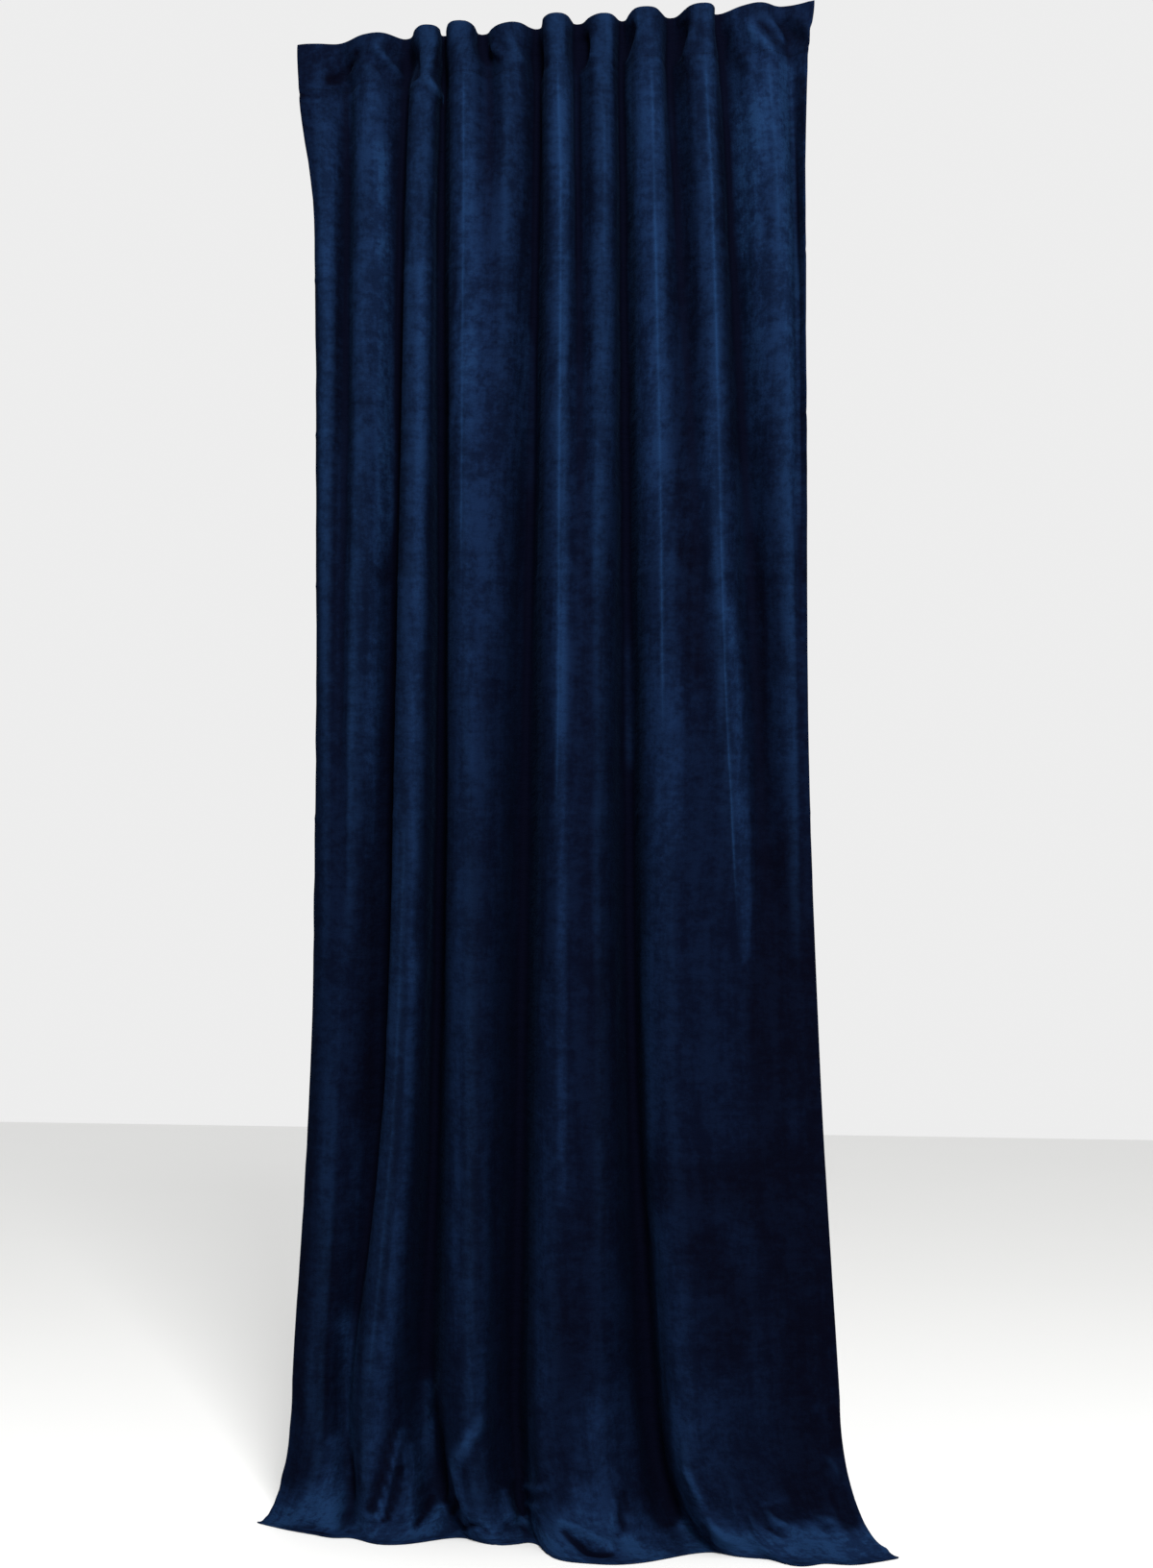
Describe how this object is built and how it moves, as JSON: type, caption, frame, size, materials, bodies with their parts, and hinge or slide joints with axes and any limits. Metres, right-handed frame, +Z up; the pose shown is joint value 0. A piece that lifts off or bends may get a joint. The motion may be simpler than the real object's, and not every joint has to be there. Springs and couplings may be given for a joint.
{
  "type": "curtain",
  "caption": "Velvet curtain panel, gathered at its stitched heading into uneven soft folds that merge as they fall, with its hem swept forward on the floor.",
  "frame": {"origin": "middle of the top edge, in the plane that the panel hangs in", "axes": "+X across the window, to the right seen from the room; +Y from the room to the wall, so the face with the nap looks along -Y; +Z up"},
  "size_m": [1.055, 0.2167, 2.4404],
  "materials": {
    "velvet": "low-pile velvet, navy, with a soft sheen on the ridges of its folds"
  },
  "bodies": {
    "root": {"curtain_panel": "velvet"}
  },
  "joints": []
}
